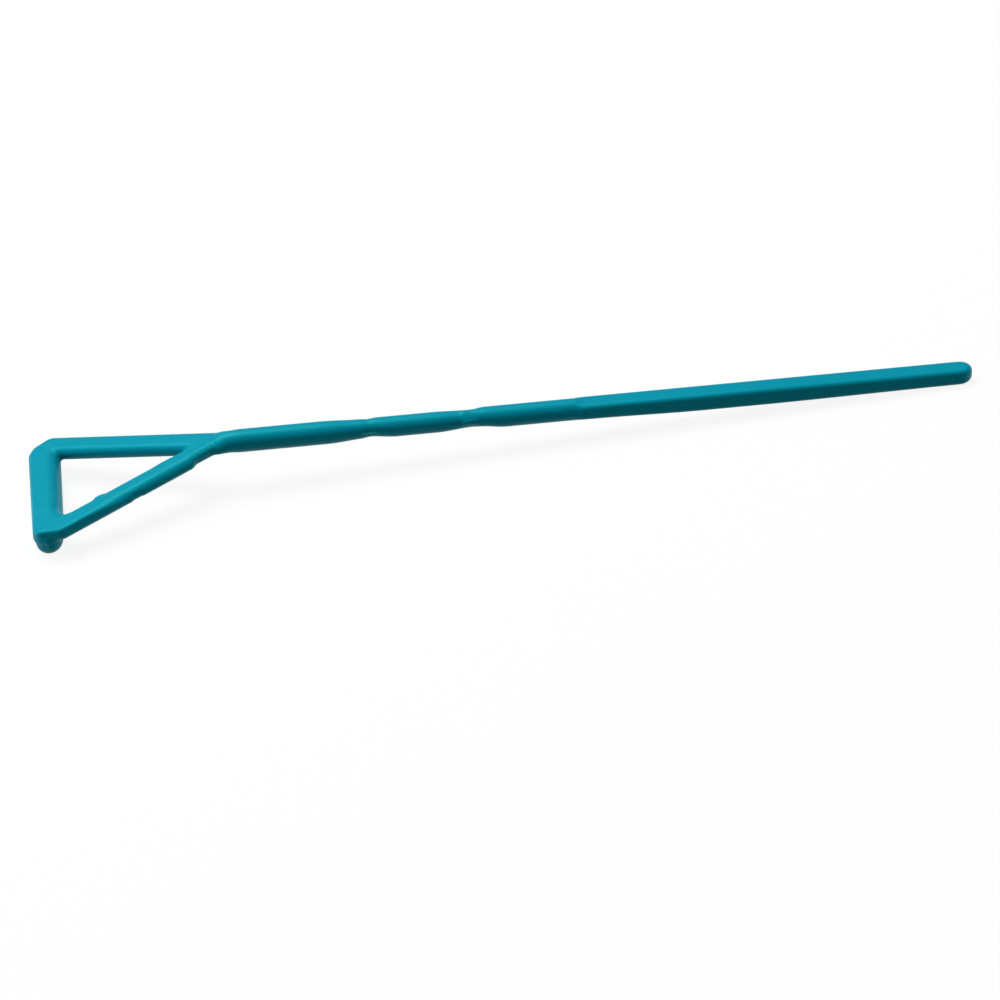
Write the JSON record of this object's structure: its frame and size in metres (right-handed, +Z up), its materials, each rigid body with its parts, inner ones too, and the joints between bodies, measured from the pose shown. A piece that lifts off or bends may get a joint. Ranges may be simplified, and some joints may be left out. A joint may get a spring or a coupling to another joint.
{
  "type": "cell spreader",
  "caption": "One-piece plastic cell spreader: a triangular head, bent down from a slender handle, whose deep rounded front bar spreads cells over agar.",
  "frame": {"origin": "centre of the bounding box in plan, on the surface that the spreader lies on", "axes": "+X from the head to the tip of the grip, +Y across to the left of someone who looks along +X, +Z up from the bench"},
  "size_m": [0.1768, 0.0328, 0.0116],
  "materials": {
    "teal_plastic": "satin, injection moulded"
  },
  "bodies": {
    "root": {"spreader": "teal_plastic"}
  },
  "joints": []
}
